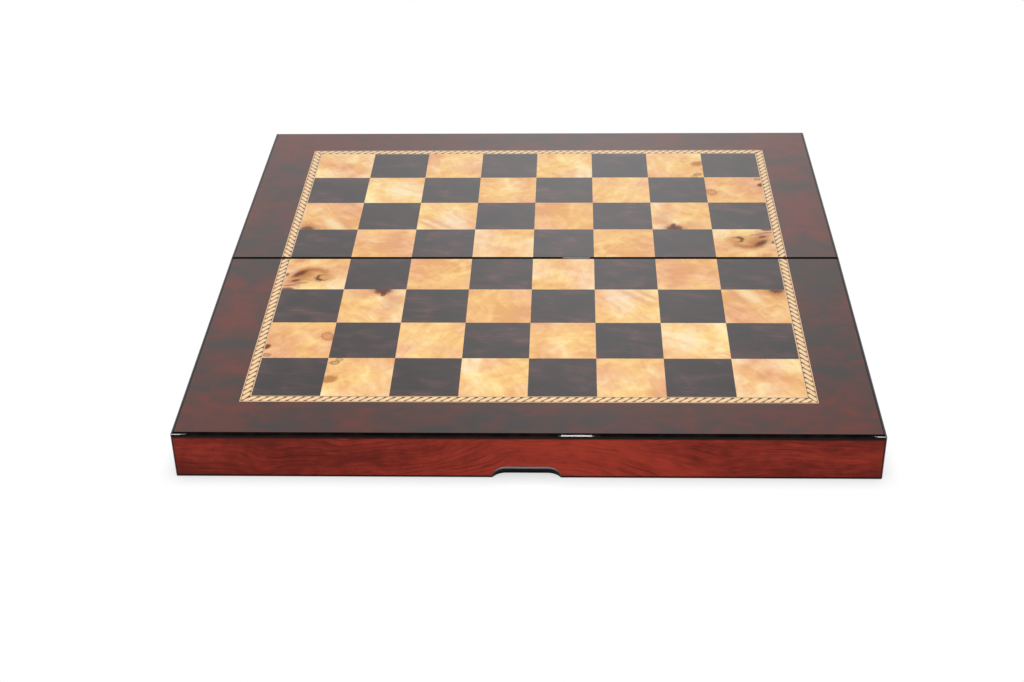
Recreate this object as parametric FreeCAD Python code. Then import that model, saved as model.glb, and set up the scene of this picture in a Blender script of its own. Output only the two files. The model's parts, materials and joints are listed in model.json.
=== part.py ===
"""Folding chess board: two lacquered wooden trays joined by a pair of butt hinges.

Opened flat, the backs of the two trays make one playing board. Folded, the trays close on each
other as a case for the chessmen. Units are millimetres, +Z is up, +X runs along the hinge line and
the origin lies on the table under the middle of that line.

Both trays are the same. A tray is built once in a flat frame of its own, whose X axis is the hinge
axis, whose tray reaches towards -Y and whose rim lies just above Z = 0. It is then placed twice: the
open board stands on its hinge knuckles and on its two outer rims, so each tray leans a little.
"""

import FreeCAD
import Part

import math
import os

# Playing field
SQUARE = 40.0
FILES = 8
RANKS_PER_TRAY = 4
INLAY_WIDTH = 6.0
SIDE_BORDER_WIDTH = 31.9
OUTER_BORDER_WIDTH = 29.9
VENEER_THICKNESS = 0.6
VENEER_HAIRLINE = 0.02

# Tray
TRAY_HEIGHT = 30.0
RAIL_THICKNESS = 12.0
PANEL_THICKNESS = 5.0
PANEL_LEDGE = 6.0
GLUE_GAP = 0.1
EDGE_RADIUS = 2.0
SEAM_EDGE_RADIUS = 0.8
EDGE_LAND = 0.1
RIM_EDGE_RADIUS = 1.0
CORNER_RADIUS = 2.0
SEAM_GAP = 0.2
RIM_GAP = 0.15
FELT_THICKNESS = 1.2
FELT_MARGIN = 0.5

# Finger scoop, cut with a ball-nosed cutter into the outer rim
SCOOP_STRAIGHT = 23.5
SCOOP_HEIGHT = 8.0
SCOOP_DEPTH = 4.9

# Closing magnets
MAGNET_RADIUS = 4.0
MAGNET_THICKNESS = 3.0
MAGNET_SPREAD = 100.0
MAGNET_CLEARANCE = 0.05

# Butt hinges
HINGE_SPREAD = 110.0
HINGE_LENGTH = 30.0
KNUCKLE_COUNT = 5
KNUCKLE_RADIUS = 1.8
KNUCKLE_CLEARANCE = 0.35
KNUCKLE_PLAY = 0.15
PIN_RADIUS = 0.9
PIN_CLEARANCE = 0.05
LEAF_THICKNESS = 0.9
LEAF_SHOULDER = 2.5
LEAF_CLEARANCE = 0.05

# Countersunk hinge screws
SCREWS_PER_LEAF = 2
SCREW_PITCH = 16.0
SCREW_SHANK_RADIUS = 0.8
SCREW_HEAD_RADIUS = 1.6
SCREW_LENGTH = 9.0
SCREW_SLOT_WIDTH = 0.4
SCREW_SLOT_DEPTH = 0.35
SCREW_CLEARANCE = 0.03

# How far a cutting tool runs past the face that it cuts
OVERRUN = 5.0

# Angles in degrees
HALF_TURN = 180
FULL_TURN = 360

X_AXIS = FreeCAD.Vector(1, 0, 0)
Y_AXIS = FreeCAD.Vector(0, 1, 0)
Z_AXIS = FreeCAD.Vector(0, 0, 1)
ORIGIN = FreeCAD.Vector(0, 0, 0)

# The board is as large as its field, inlay, border, the narrow flat land of the rail and its rounded
# edge make it: 400 mm wide, and each tray 198 mm deep from the hinge axis to its outer face
FIELD_X = SQUARE * FILES / 2
FIELD_Y = -SQUARE * RANKS_PER_TRAY
HALF_WIDTH = FIELD_X + INLAY_WIDTH + SIDE_BORDER_WIDTH + EDGE_LAND + EDGE_RADIUS
BOARD_WIDTH = 2 * HALF_WIDTH
TRAY_DEPTH = INLAY_WIDTH + OUTER_BORDER_WIDTH + EDGE_LAND + EDGE_RADIUS - FIELD_Y

# Places in the flat frame of a tray that follow from the sizes above
OUTER_Y = -TRAY_DEPTH
SEAM_Y = -SEAM_GAP
INNER_X = HALF_WIDTH - RAIL_THICKNESS
INNER_OUTER_Y = OUTER_Y + RAIL_THICKNESS
INNER_SEAM_Y = SEAM_Y - RAIL_THICKNESS
BED_Z = TRAY_HEIGHT - VENEER_THICKNESS
PANEL_Z = BED_Z - PANEL_THICKNESS
BED_X = HALF_WIDTH - EDGE_RADIUS - EDGE_LAND
BED_OUTER_Y = OUTER_Y + EDGE_RADIUS + EDGE_LAND
BED_SEAM_Y = SEAM_Y - SEAM_EDGE_RADIUS - EDGE_LAND
LEAF_NEAR_Y = -(KNUCKLE_RADIUS + KNUCKLE_CLEARANCE)
LEAF_FAR_Y = INNER_SEAM_Y + LEAF_SHOULDER
LEAF_TOP_Z = RIM_GAP + LEAF_THICKNESS

# The lowest line of an outer rim and the underside of the knuckles touch the table together
LEAN = math.degrees(math.asin((KNUCKLE_RADIUS + RIM_GAP) / (TRAY_DEPTH - RIM_EDGE_RADIUS)))


def box(low, high):
    """A box between two opposite corners."""
    size = [high[i] - low[i] for i in range(3)]
    return Part.makeBox(*size, FreeCAD.Vector(*low))


def plate(outline, low_z, thickness):
    """A flat plate of a polygonal outline, lying on the height low_z."""
    points = [FreeCAD.Vector(x, y, low_z) for x, y in outline]
    return Part.Face(Part.makePolygon(points + points[:1])).extrude(Z_AXIS * thickness)


def veneer(outline):
    """A veneer piece on the tray's bed, trimmed by half a hairline on every side."""
    points = [FreeCAD.Vector(x, y, BED_Z) for x, y in outline]
    face = Part.Face(Part.makePolygon(points + points[:1]))
    return face.makeOffset2D(-VENEER_HAIRLINE / 2).extrude(Z_AXIS * VENEER_THICKNESS)


def rounded_face(low, high, radii, to_point):
    """A rectangle with its own radius at each corner, counter-clockwise from the low corner.

    to_point turns the two coordinates of the rectangle's plane into a point in space.
    """
    corners = [low, (high[0], low[1]), high, (low[0], high[1])]
    inwards = [(1, 1), (-1, 1), (-1, -1), (1, -1)]
    arrivals, departures, arcs = [], [], []
    for index, ((u, v), (du, dv), radius) in enumerate(zip(corners, inwards, radii)):
        along_u = to_point(u + du * radius, v)
        along_v = to_point(u, v + dv * radius)
        middle = radius * (1 - math.sqrt(0.5))
        arrive, depart = (along_v, along_u) if index % 2 == 0 else (along_u, along_v)
        arrivals.append(arrive)
        departures.append(depart)
        if radius:
            arcs.append(Part.Arc(arrive, to_point(u + du * middle, v + dv * middle), depart).toShape())
        else:
            arcs.append(None)
    edges = []
    for index, arc in enumerate(arcs):
        if arc:
            edges.append(arc)
        edges.append(Part.LineSegment(departures[index], arrivals[(index + 1) % 4]).toShape())
    return Part.Face(Part.Wire(edges))


def depth_form(radii):
    """A tray's section from its outer face to its seam, with these corner radii, over its width."""
    section = rounded_face(
        (OUTER_Y, RIM_GAP),
        (SEAM_Y, TRAY_HEIGHT),
        radii,
        lambda y, z: FreeCAD.Vector(-HALF_WIDTH, y, z),
    )
    return section.extrude(X_AXIS * BOARD_WIDTH)


def width_form():
    """A tray's section from side to side, with its edges rounded, over its depth."""
    section = rounded_face(
        (-HALF_WIDTH, RIM_GAP),
        (HALF_WIDTH, TRAY_HEIGHT),
        (RIM_EDGE_RADIUS, RIM_EDGE_RADIUS, EDGE_RADIUS, EDGE_RADIUS),
        lambda x, z: FreeCAD.Vector(x, OUTER_Y, z),
    )
    return section.extrude(Y_AXIS * (SEAM_Y - OUTER_Y))


def plan_form():
    """A tray's plan, with its two outer corners rounded, over its height."""
    plan = rounded_face(
        (-HALF_WIDTH, OUTER_Y),
        (HALF_WIDTH, SEAM_Y),
        (CORNER_RADIUS, CORNER_RADIUS, 0, 0),
        lambda x, y: FreeCAD.Vector(x, y, RIM_GAP),
    )
    return plan.extrude(Z_AXIS * (TRAY_HEIGHT - RIM_GAP))


def hollowed(block):
    """A block less the inside of the tray, the panel's rebate and the veneer bed."""
    tray = box(
        (-INNER_X, INNER_OUTER_Y, RIM_GAP - OVERRUN),
        (INNER_X, INNER_SEAM_Y, TRAY_HEIGHT + OVERRUN),
    )
    rebate = box(
        (-INNER_X - PANEL_LEDGE, INNER_OUTER_Y - PANEL_LEDGE, PANEL_Z),
        (INNER_X + PANEL_LEDGE, INNER_SEAM_Y + PANEL_LEDGE, TRAY_HEIGHT + OVERRUN),
    )
    bed = box((-BED_X, BED_OUTER_Y, BED_Z), (BED_X, BED_SEAM_Y, TRAY_HEIGHT + OVERRUN))
    return block.cut([tray, rebate, bed])


def rail_mouldings():
    """The outer, hinge and side rails before they are mitred, each rounded along its own edges.

    Two rails that meet at an outer corner have the same section, so their roundings meet in the mitre.
    """
    outer = depth_form((RIM_EDGE_RADIUS, 0, 0, EDGE_RADIUS)).common(plan_form())
    hinge = depth_form((0, 0, SEAM_EDGE_RADIUS, 0)).common(width_form())
    side = hinge.common(plan_form())
    return hollowed(outer), hollowed(hinge), hollowed(side)


def rail(moulding, outline):
    """One rail, cut off its moulding at the two mitres."""
    height = TRAY_HEIGHT + OVERRUN
    return moulding.common(plate(outline, -OVERRUN, height + OVERRUN))


def side_rail(moulding, side):
    """The rail at the left (side -1) or the right (side 1) end of a tray."""
    outline = [
        (side * HALF_WIDTH, OUTER_Y),
        (side * INNER_X, INNER_OUTER_Y),
        (side * INNER_X, INNER_SEAM_Y),
        (side * HALF_WIDTH, SEAM_Y),
    ]
    return rail(moulding, outline)


def finger_scoop():
    """The hollow that a ball-nosed cutter leaves when it runs along the outer rim."""
    standoff = (SCOOP_HEIGHT**2 - SCOOP_DEPTH**2) / (2 * SCOOP_DEPTH)
    radius = SCOOP_DEPTH + standoff
    start = FreeCAD.Vector(-SCOOP_STRAIGHT / 2, OUTER_Y - standoff, RIM_GAP)
    end = start + X_AXIS * SCOOP_STRAIGHT
    run = Part.makeCylinder(radius, SCOOP_STRAIGHT, start, X_AXIS)
    return run.fuse([Part.makeSphere(radius, start), Part.makeSphere(radius, end)])


def magnet_discs(radius, depth):
    """A disc of the given size in the rim for each closing magnet."""
    middle_y = OUTER_Y + RAIL_THICKNESS / 2
    centres = [FreeCAD.Vector(side * MAGNET_SPREAD, middle_y, RIM_GAP) for side in (-1, 1)]
    return [Part.makeCylinder(radius, depth, centre, Z_AXIS) for centre in centres]


def outer_rail(moulding):
    """The rail opposite the hinges, with the finger scoop and the sockets of the magnets."""
    outline = [
        (-HALF_WIDTH, OUTER_Y),
        (HALF_WIDTH, OUTER_Y),
        (INNER_X, INNER_OUTER_Y),
        (-INNER_X, INNER_OUTER_Y),
    ]
    sockets = magnet_discs(MAGNET_RADIUS + MAGNET_CLEARANCE, MAGNET_THICKNESS)
    return rail(moulding, outline).cut([finger_scoop(), *sockets])


def hinge_rail(moulding):
    """The rail along the seam, mortised for the two hinge leaves, their knuckles and their screws."""
    outline = [
        (-HALF_WIDTH, SEAM_Y),
        (-INNER_X, INNER_SEAM_Y),
        (INNER_X, INNER_SEAM_Y),
        (HALF_WIDTH, SEAM_Y),
    ]
    cuts = []
    half_slot = HINGE_LENGTH / 2 + LEAF_CLEARANCE
    for side in (-1, 1):
        centre_x = side * HINGE_SPREAD
        mortise = box(
            (centre_x - half_slot, LEAF_FAR_Y - LEAF_CLEARANCE, RIM_GAP - OVERRUN),
            (centre_x + half_slot, SEAM_Y + OVERRUN, LEAF_TOP_Z),
        )
        groove = Part.makeCylinder(
            KNUCKLE_RADIUS + KNUCKLE_CLEARANCE,
            2 * half_slot,
            FreeCAD.Vector(centre_x - half_slot, 0, 0),
            X_AXIS,
        )
        cuts += [mortise, groove]
        for x, y in screw_places(centre_x):
            start = FreeCAD.Vector(x, y, RIM_GAP)
            cuts.append(screw_body(start, SCREW_CLEARANCE))
    return rail(moulding, outline).cut(cuts)


def deck_panel():
    """The board that carries the veneers, dropped into the rebate of the rails."""
    reach_x = INNER_X + PANEL_LEDGE - GLUE_GAP
    outer_y = INNER_OUTER_Y - PANEL_LEDGE + GLUE_GAP
    seam_y = INNER_SEAM_Y + PANEL_LEDGE - GLUE_GAP
    return box((-reach_x, outer_y, PANEL_Z), (reach_x, seam_y, BED_Z))


def felt_lining():
    """The felt that lines the inside of the tray, glued under the deck panel."""
    reach_x = INNER_X - FELT_MARGIN
    return box(
        (-reach_x, INNER_OUTER_Y + FELT_MARGIN, PANEL_Z - FELT_THICKNESS),
        (reach_x, INNER_SEAM_Y - FELT_MARGIN, PANEL_Z),
    )


def framing_strips(inner_x, inner_y, outer_x, outer_y):
    """Three mitred veneer strips round the playing field: left, outer and right."""
    strips = []
    for side in (-1, 1):
        strips.append(
            veneer(
                [
                    (side * outer_x, outer_y),
                    (side * inner_x, inner_y),
                    (side * inner_x, BED_SEAM_Y),
                    (side * outer_x, BED_SEAM_Y),
                ]
            )
        )
    strips.insert(
        1, veneer([(-outer_x, outer_y), (outer_x, outer_y), (inner_x, inner_y), (-inner_x, inner_y)])
    )
    return strips


def rope_inlay():
    """The patterned band that borders the squares."""
    return framing_strips(FIELD_X, FIELD_Y, FIELD_X + INLAY_WIDTH, FIELD_Y - INLAY_WIDTH)


def border_veneer():
    """The wide veneer frame between the inlay and the rounded edge of the board."""
    return framing_strips(FIELD_X + INLAY_WIDTH, FIELD_Y - INLAY_WIDTH, BED_X, BED_OUTER_Y)


def squares(dark):
    """The dark or the light squares of one tray; those beside the seam are cut short by its edge."""
    pieces = []
    for file in range(FILES):
        for rank in range(RANKS_PER_TRAY):
            if ((file + rank) % 2 == 1) != dark:
                continue
            left = file * SQUARE - FIELD_X
            far = BED_SEAM_Y if rank == 0 else -rank * SQUARE
            near = -(rank + 1) * SQUARE
            outline = [(left, near), (left + SQUARE, near), (left + SQUARE, far), (left, far)]
            pieces.append(veneer(outline))
    return pieces


def knuckle(index, centre_x):
    """One knuckle of a hinge with the web that joins it to its leaf."""
    pitch = HINGE_LENGTH / KNUCKLE_COUNT
    start_x = centre_x - HINGE_LENGTH / 2 + index * pitch
    end_x = start_x + pitch
    start_x += KNUCKLE_PLAY / 2 if index else 0
    end_x -= KNUCKLE_PLAY / 2 if index < KNUCKLE_COUNT - 1 else 0
    start = FreeCAD.Vector(start_x, 0, 0)
    barrel = Part.makeCylinder(KNUCKLE_RADIUS, end_x - start_x, start, X_AXIS)
    web = box((start_x, LEAF_NEAR_Y, RIM_GAP), (end_x, 0, LEAF_TOP_Z))
    bore = Part.makeCylinder(PIN_RADIUS + PIN_CLEARANCE, end_x - start_x, start, X_AXIS)
    return barrel.fuse(web).cut(bore)


def hinge_leaf(centre_x, first_knuckle):
    """A leaf with every second knuckle of the hinge, counted from first_knuckle."""
    half_length = HINGE_LENGTH / 2
    leaf = box(
        (centre_x - half_length, LEAF_FAR_Y, RIM_GAP),
        (centre_x + half_length, LEAF_NEAR_Y, LEAF_TOP_Z),
    )
    knuckles = [knuckle(index, centre_x) for index in range(first_knuckle, KNUCKLE_COUNT, 2)]
    holes = [
        screw_body(FreeCAD.Vector(x, y, RIM_GAP), SCREW_CLEARANCE) for x, y in screw_places(centre_x)
    ]
    return leaf.fuse(knuckles).removeSplitter().cut(holes)


def hinge_pin(centre_x):
    """The pin through the knuckles, cut off flush with the ends of the hinge."""
    start = FreeCAD.Vector(centre_x - HINGE_LENGTH / 2, 0, 0)
    return Part.makeCylinder(PIN_RADIUS, HINGE_LENGTH, start, X_AXIS)


def screw_places(centre_x):
    """Where the screws of the leaf at centre_x stand, in a row along its middle."""
    middle_y = (LEAF_FAR_Y + LEAF_NEAR_Y) / 2
    first = centre_x - SCREW_PITCH * (SCREWS_PER_LEAF - 1) / 2
    return [(first + SCREW_PITCH * index, middle_y) for index in range(SCREWS_PER_LEAF)]


def screw_body(start, clearance):
    """A countersunk screw without its slot, or its hole where clearance is more than zero.

    The head is as deep as the leaf is thick, and the shank is plain.
    """
    head = SCREW_HEAD_RADIUS + clearance
    shank = SCREW_SHANK_RADIUS + clearance
    end = SCREW_LENGTH + clearance
    profile = [(0, 0), (head, 0), (shank, LEAF_THICKNESS), (shank, end), (0, end)]
    points = [start + X_AXIS * r + Z_AXIS * z for r, z in profile]
    return Part.Face(Part.makePolygon(points + points[:1])).revolve(start, Z_AXIS, FULL_TURN)


def hinge_screws():
    """The screws of both leaves on one tray, each with a driver slot across its head."""
    screws = []
    for side in (-1, 1):
        for x, y in screw_places(side * HINGE_SPREAD):
            slot = box(
                (x - SCREW_SLOT_WIDTH / 2, y - SCREW_HEAD_RADIUS, RIM_GAP - OVERRUN),
                (x + SCREW_SLOT_WIDTH / 2, y + SCREW_HEAD_RADIUS, RIM_GAP + SCREW_SLOT_DEPTH),
            )
            screws.append(screw_body(FreeCAD.Vector(x, y, RIM_GAP), 0).cut(slot))
    return screws


def tray_pieces():
    """The pieces that both trays share, by name, in the flat frame of a tray."""
    outer, hinge, side = rail_mouldings()
    return {
        "outer_rail": [outer_rail(outer)],
        "hinge_rail": [hinge_rail(hinge)],
        "west_rail": [side_rail(side, -1)],
        "east_rail": [side_rail(side, 1)],
        "deck_panel": [deck_panel()],
        "felt_lining": [felt_lining()],
        "border_veneer": border_veneer(),
        "rope_inlay": rope_inlay(),
        "light_squares": squares(dark=False),
        "dark_squares": squares(dark=True),
        "magnets": magnet_discs(MAGNET_RADIUS, MAGNET_THICKNESS),
        "hinge_screws": hinge_screws(),
    }


def placed(pieces, turned):
    """Pieces moved from the flat frame to where they stand; turned ones belong to the rear tray."""
    result = []
    for piece in pieces:
        shape = piece.copy()
        if turned:
            shape.rotate(ORIGIN, Z_AXIS, HALF_TURN)
        shape.rotate(ORIGIN, X_AXIS, -LEAN if turned else LEAN)
        shape.translate(Z_AXIS * KNUCKLE_RADIUS)
        result.append(shape)
    return result


def all_nodes():
    """Every node of the board by name, as a list of solids in place."""
    shared = tray_pieces()
    row_names = {
        "front": {"west_rail": "left_rail", "east_rail": "right_rail"},
        "rear": {"west_rail": "right_rail", "east_rail": "left_rail"},
    }
    nodes = {}
    for tray, renamed in row_names.items():
        for name, pieces in shared.items():
            nodes[f"{tray}_{renamed.get(name, name)}"] = placed(pieces, tray == "rear")
    for side, name in ((-1, "left"), (1, "right")):
        nodes[f"{name}_hinge_front_leaf"] = placed([hinge_leaf(side * HINGE_SPREAD, 0)], False)
        nodes[f"{name}_hinge_rear_leaf"] = placed([hinge_leaf(-side * HINGE_SPREAD, 1)], True)
        nodes[f"{name}_hinge_pin"] = placed([hinge_pin(side * HINGE_SPREAD)], False)
    return nodes


def main():
    os.makedirs("parts", exist_ok=True)
    for name, solids in all_nodes().items():
        shape = solids[0] if len(solids) == 1 else Part.makeCompound(solids)
        shape.exportStep(f"parts/{name}.step")
        box_size = shape.BoundBox
        print(
            f"{name}: {len(shape.Solids)} solid(s), valid {shape.isValid()}, "
            f"{box_size.XLength:.1f} x {box_size.YLength:.1f} x {box_size.ZLength:.1f} mm, "
            f"lowest {box_size.ZMin:.3f}"
        )
    print(f"each tray leans {LEAN:.3f} degrees")


main()
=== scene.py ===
# %% [markdown]
# # A folding chess board under gloss lacquer
#
# The board comes from CAD as thirty exact pieces on two bodies, and none of them is moved here. What
# is left to make is everything that the eye reads as wood, lacquer, felt and brass. The CAD veneers
# are true flat pieces, so they keep their meshes and get procedural materials; only the felt
# linings, which are plain slabs in CAD, are modelled again.

# %% Load the frame
import json
import math
from collections import namedtuple

import bmesh
import bpy
from mathutils import Euler, Matrix, Vector, noise


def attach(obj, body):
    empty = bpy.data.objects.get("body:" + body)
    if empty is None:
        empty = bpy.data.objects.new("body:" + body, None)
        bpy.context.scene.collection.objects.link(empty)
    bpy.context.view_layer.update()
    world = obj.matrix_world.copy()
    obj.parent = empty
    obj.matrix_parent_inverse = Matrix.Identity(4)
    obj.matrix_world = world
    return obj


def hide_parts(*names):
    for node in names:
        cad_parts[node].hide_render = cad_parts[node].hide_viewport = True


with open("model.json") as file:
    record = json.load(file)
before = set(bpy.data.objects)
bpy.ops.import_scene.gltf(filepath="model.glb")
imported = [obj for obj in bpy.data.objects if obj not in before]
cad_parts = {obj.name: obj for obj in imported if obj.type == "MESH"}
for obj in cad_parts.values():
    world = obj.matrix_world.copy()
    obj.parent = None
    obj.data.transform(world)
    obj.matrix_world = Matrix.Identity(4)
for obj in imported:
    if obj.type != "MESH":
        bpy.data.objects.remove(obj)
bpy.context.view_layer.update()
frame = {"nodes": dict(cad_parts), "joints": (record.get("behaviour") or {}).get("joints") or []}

MM = 0.001
HALVES = ("front", "rear")

cad_nodes = frame["nodes"]

# %% [markdown]
# ## A flat frame for each tray
#
# The open board stands on its hinges and its two outer rims, so each tray leans by half a degree, and
# the rear tray is the front one turned half way round. Patterns are much easier to lay out on a level
# tray, so each half gets a flat frame: hinge line along X, tray towards -Y. The lean is not typed in
# again but read from the hinge's lower limit, at which both trays lie level.

# %% Flat frames and sizes
fold_joint = frame["joints"][0]
HINGE_HEIGHT = fold_joint["pos_m"][2]
LEAN = -math.radians(fold_joint["range_deg"][0]) / 2


def tray_turn(half):
    """The rotation that takes a tray from its flat frame to where it stands."""
    return (LEAN, 0.0, math.pi if half == "rear" else 0.0)


def placement(half):
    """The whole move of a tray from its flat frame to where it stands."""
    turn = Euler(tray_turn(half)).to_matrix().to_4x4()
    return Matrix.Translation((0, 0, HINGE_HEIGHT)) @ turn


def flat_box(half, name):
    """Lowest and highest corner of one tray's node, measured in the flat frame of that tray."""
    to_flat = placement(half).inverted()
    points = [to_flat @ vertex.co for vertex in cad_nodes[f"{half}_{name}"].data.vertices]
    low = Vector([min(point[axis] for point in points) for axis in range(3)])
    high = Vector([max(point[axis] for point in points) for axis in range(3)])
    return low, high


FILES = 8
RANKS_PER_TRAY = 4
field_low, field_high = flat_box("front", "light_squares")
_, inlay_high = flat_box("front", "rope_inlay")
rail_low, rail_high = flat_box("front", "outer_rail")
felt_low, felt_high = flat_box("front", "felt_lining")

SQUARE = round((field_high.x - field_low.x) / FILES, 4)
FIELD_X = SQUARE * FILES / 2
FIELD_Y = -SQUARE * RANKS_PER_TRAY
INLAY_WIDTH = round(inlay_high.x - field_high.x, 4)
HALF_WIDTH = rail_high.x
OUTER_Y = rail_low.y
print(f"square {SQUARE / MM:.1f} mm, inlay {INLAY_WIDTH / MM:.1f} mm")
print(f"each tray leans by {math.degrees(LEAN):.3f} degrees")

# %% [markdown]
# ## Short calls for shader nodes
#
# A wood figure takes dozens of nodes, and wiring them one by one hides the idea. This small class
# gives each kind of node one call that returns the socket it makes, so a material below reads like
# arithmetic. Every pattern starts from the Object output of the coordinates, which stays with the
# wood when the board folds.


# %% Node helper
class Tree:
    """A node tree with one short call for each kind of node that this lesson uses."""

    def __init__(self, node_tree):
        self.node_tree = node_tree
        node_tree.nodes.clear()

    def add(self, kind, inputs=None, **settings):
        """Adds a node, applies its settings, and links or sets its inputs."""
        made = self.node_tree.nodes.new(f"ShaderNode{kind}")
        for name, setting in settings.items():
            setattr(made, name, setting)
        for key, value in (inputs or {}).items():
            socket = made.inputs[key]
            if isinstance(value, bpy.types.NodeSocket):
                self.node_tree.links.new(value, socket)
            elif socket.type == "RGBA":
                socket.default_value = (*value, 1.0)
            else:
                socket.default_value = value
        return made

    def math(self, operation, *values, clamp=False):
        """One arithmetic step on numbers."""
        made = self.add("Math", dict(enumerate(values)), operation=operation, use_clamp=clamp)
        return made.outputs[0]

    def vector(self, operation, *values):
        """One arithmetic step on vectors."""
        return self.add("VectorMath", dict(enumerate(values)), operation=operation).outputs[0]

    def length(self, vector):
        """How long a vector is."""
        return self.add("VectorMath", {0: vector}, operation="LENGTH").outputs["Value"]

    def split(self, vector):
        """The three numbers of a vector."""
        made = self.add("SeparateXYZ", {0: vector})
        return made.outputs["X"], made.outputs["Y"], made.outputs["Z"]

    def join(self, x=0.0, y=0.0, z=0.0):
        """A vector of three numbers."""
        return self.add("CombineXYZ", {0: x, 1: y, 2: z}).outputs[0]

    def noise(self, place, scale, detail=2.0, roughness=0.5, distortion=0.0):
        """Smooth random numbers from about 0.2 to 0.8; scale counts the lumps in a metre."""
        inputs = {
            "Vector": place,
            "Scale": scale,
            "Detail": detail,
            "Roughness": roughness,
            "Distortion": distortion,
        }
        return self.add("TexNoise", inputs).outputs[0]

    def grain(self, place, lumps, **settings):
        """Noise that is stretched: lumps counts those in a metre along each axis."""
        return self.noise(self.vector("MULTIPLY", place, lumps), 1.0, **settings)

    def weigh(self, shares, values):
        """The sum of some numbers, each times its share."""
        total = 0.0
        for share, value in zip(shares, values):
            total = self.math("MULTIPLY_ADD", value, share, total)
        return total

    def rise(self, value, low, high):
        """0 up to low, 1 from high on, and a smooth slope between; it falls where low is above high."""
        inputs = {"Value": value, "From Min": low, "From Max": high}
        return self.add("MapRange", inputs, interpolation_type="SMOOTHSTEP").outputs["Result"]

    def ramp(self, factor, stops):
        """A colour that runs through the given stops of position and colour."""
        made = self.add("ValToRGB", {"Fac": factor})
        elements = made.color_ramp.elements
        elements.remove(elements[1])
        elements[0].position = stops[0][0]
        elements[0].color = (*stops[0][1], 1.0)
        for position, colour in stops[1:]:
            elements.new(position).color = (*colour, 1.0)
        return made.outputs["Color"]

    def blend(self, factor, first, second, kind="MIX"):
        """Two colours, mixed or multiplied."""
        inputs = {0: factor, 6: first, 7: second}
        return self.add("Mix", inputs, data_type="RGBA", blend_type=kind).outputs[2]

    def place(self):
        """The point on the piece, at rest in the part's own frame."""
        return self.add("TexCoord").outputs["Object"]

    def flat_point(self, half):
        """The point on the piece in the flat frame of its tray."""
        inputs = {
            "Vector": self.place(),
            "Location": (0.0, 0.0, HINGE_HEIGHT),
            "Rotation": tray_turn(half),
        }
        return self.add("Mapping", inputs, vector_type="TEXTURE").outputs["Vector"]

    def bump(self, height, depth):
        """A normal that is tilted as by a relief of that depth in metres."""
        return self.add("Bump", {"Height": height, "Distance": depth}).outputs["Normal"]

    def surface(self, shader):
        """Ends the tree in a surface shader."""
        self.add("OutputMaterial", {"Surface": shader.outputs[0]})


def new_material(name):
    """An empty material and the helper for its nodes."""
    material = bpy.data.materials.new(name)
    material.use_nodes = True
    return material, Tree(material.node_tree)


def cover(node_name, *materials):
    """Gives a CAD node these materials in place of the plain one it was packed with."""
    slots = cad_nodes[node_name].data.materials
    slots.clear()
    for material in materials:
        slots.append(material)


# %% [markdown]
# ## The lacquer
#
# All the wood lies under the same thick, polished lacquer. A Principled shader with a low roughness
# and an IOR of 1.5 is such a film: the colour comes from below, the white studio from above. A real
# film is never dead flat, so a relief of a few thousandths of a millimetre makes reflections swim a
# little, and a faint haze keeps the roughness from being the same everywhere. Every wood below sets
# how strongly its film mirrors.

# %% Lacquer
LACQUER_IOR = 1.5
RIPPLE_DEPTH = 0.008 * MM
RIPPLE_LUMPS = 90.0
HAZE_LUMPS = 260.0
HAZE_LOW = 0.005
HAZE_RANGE = 0.03


def lacquer(tree, colour, specular=0.5):
    """Ends a material as wood of that colour under polished lacquer."""
    place = tree.place()
    ripple = tree.noise(place, RIPPLE_LUMPS, detail=1.0)
    haze = tree.noise(place, HAZE_LUMPS, detail=3.0)
    inputs = {
        "Base Color": colour,
        "Roughness": tree.math("MULTIPLY_ADD", haze, HAZE_RANGE, HAZE_LOW),
        "IOR": LACQUER_IOR,
        "Specular IOR Level": specular,
        "Normal": tree.bump(ripple, RIPPLE_DEPTH),
    }
    tree.surface(tree.add("BsdfPrincipled", inputs))


# %% [markdown]
# ## Squares cut from many sheets
#
# A veneer checkerboard is sawn from different places of a sheet, so the figure jumps from square to
# square. Rounding the flat point down to whole squares gives every square its own number, and white
# noise turns this into a random shift and turn of the pattern. No mesh has to be split for it. The
# same whole numbers tell which of two sheets, a paler and a browner one, a square was sawn from.

# %% Figure that jumps from square to square
CELL_MIDDLE = (0.5, 0.5, 0.5)


def square_figure(tree, flat, most_turn):
    """A point for wood figure that is shifted and turned at random in every square, and its sheet."""
    whole = tree.vector("FLOOR", tree.vector("MULTIPLY", flat, (1 / SQUARE, 1 / SQUARE, 0.0)))
    chance = tree.add("TexWhiteNoise", {"Vector": tree.vector("ADD", whole, CELL_MIDDLE)})
    angle = tree.math("MULTIPLY", chance.outputs["Value"], most_turn)
    turned = tree.add("VectorRotate", {"Vector": flat, "Angle": angle}, rotation_type="Z_AXIS")
    column, row, _ = tree.split(whole)
    diagonal = tree.math("ADD", tree.math("ADD", column, row), 1.0)
    sheet = tree.math("COSINE", tree.math("MULTIPLY", diagonal, math.pi / 2))
    return tree.vector("ADD", turned.outputs[0], chance.outputs["Color"]), sheet
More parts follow.
